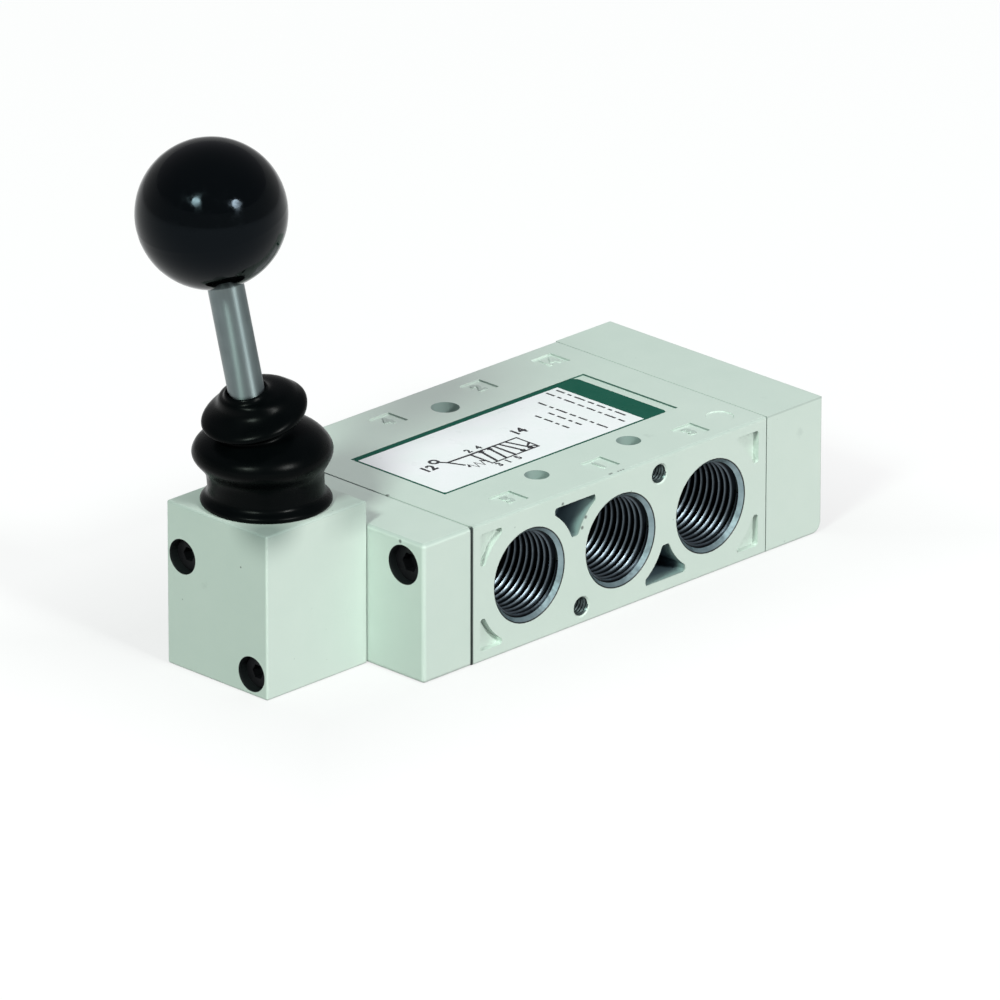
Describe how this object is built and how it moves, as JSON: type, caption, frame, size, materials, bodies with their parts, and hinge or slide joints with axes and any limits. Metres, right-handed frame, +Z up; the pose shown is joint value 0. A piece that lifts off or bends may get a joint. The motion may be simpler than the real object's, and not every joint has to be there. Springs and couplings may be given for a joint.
{
  "type": "hand lever air valve",
  "caption": "Hand lever spool valve: a flat cast body with threaded ports on both long sides, and at one end a block with a ball lever in a rubber boot.",
  "frame": {"origin": "middle of the main body's bottom face, below the middle port of the three port side", "axes": "+X along the spool away from the lever, +Z up, -Y out of the three port side"},
  "size_m": [0.1732, 0.0656, 0.1253],
  "materials": {
    "body_paint": "satin, pale grey-green paint on die cast metal",
    "black_rubber": "satin moulded rubber",
    "gasket_rubber": "matt sheet rubber",
    "black_screw": "black oxide",
    "label": "smooth printed film",
    "knob_plastic": "polished",
    "rod_steel": "ground",
    "plain_steel": "turned",
    "spring_steel": "drawn wire",
    "spool_alloy": "ground and anodised",
    "cage_plastic": "moulded",
    "brass": "turned",
    "bearing_bronze": "sintered"
  },
  "bodies": {
    "valve": {"valve_body": "body_paint", "adapter_block": "body_paint", "end_cap": "body_paint", "lever_housing": "body_paint", "adapter_gasket": "gasket_rubber", "cap_gasket": "gasket_rubber", "housing_gasket": "gasket_rubber", "adapter_screws": "black_screw", "cap_screws": "black_screw", "housing_screws": "black_screw", "label_plate": "label", "spool_cages": "cage_plastic", "spool_seals": "gasket_rubber", "guide_bush": "bearing_bronze", "stem_seal": "gasket_rubber", "return_spring": "spring_steel", "end_bumper": "black_rubber", "pivot_collar": "plain_steel", "pivot_pin": "plain_steel", "dust_boot": "black_rubber"},
    "lever": {"lever_hub": "plain_steel", "hub_bush": "bearing_bronze", "lever_rod": "rod_steel", "lever_lock_nut": "plain_steel", "ball_knob": "knob_plastic", "knob_insert": "brass"},
    "spool": {"spool": "spool_alloy", "spring_seat": "plain_steel"}
  },
  "joints": [
    {"name": "lever_tilt", "type": "hinge", "parent": "valve", "child": "lever", "pos_m": [-0.0765, 0, 0.04], "axis": [0, 1, 0], "range_deg": [0, 26], "stiffness_Nm_per_rad": 0.8, "springref_deg": -20.05, "deforming": ["dust_boot"]},
    {"name": "spool_slide", "type": "slide", "parent": "valve", "child": "spool", "axis": [1, 0, 0], "range_m": [-0.0107, 0], "deforming": ["return_spring"]}
  ],
  "couplings": [
    {"joint": "spool_slide", "follows": "lever_tilt", "m_per_rad": -0.023547}
  ]
}
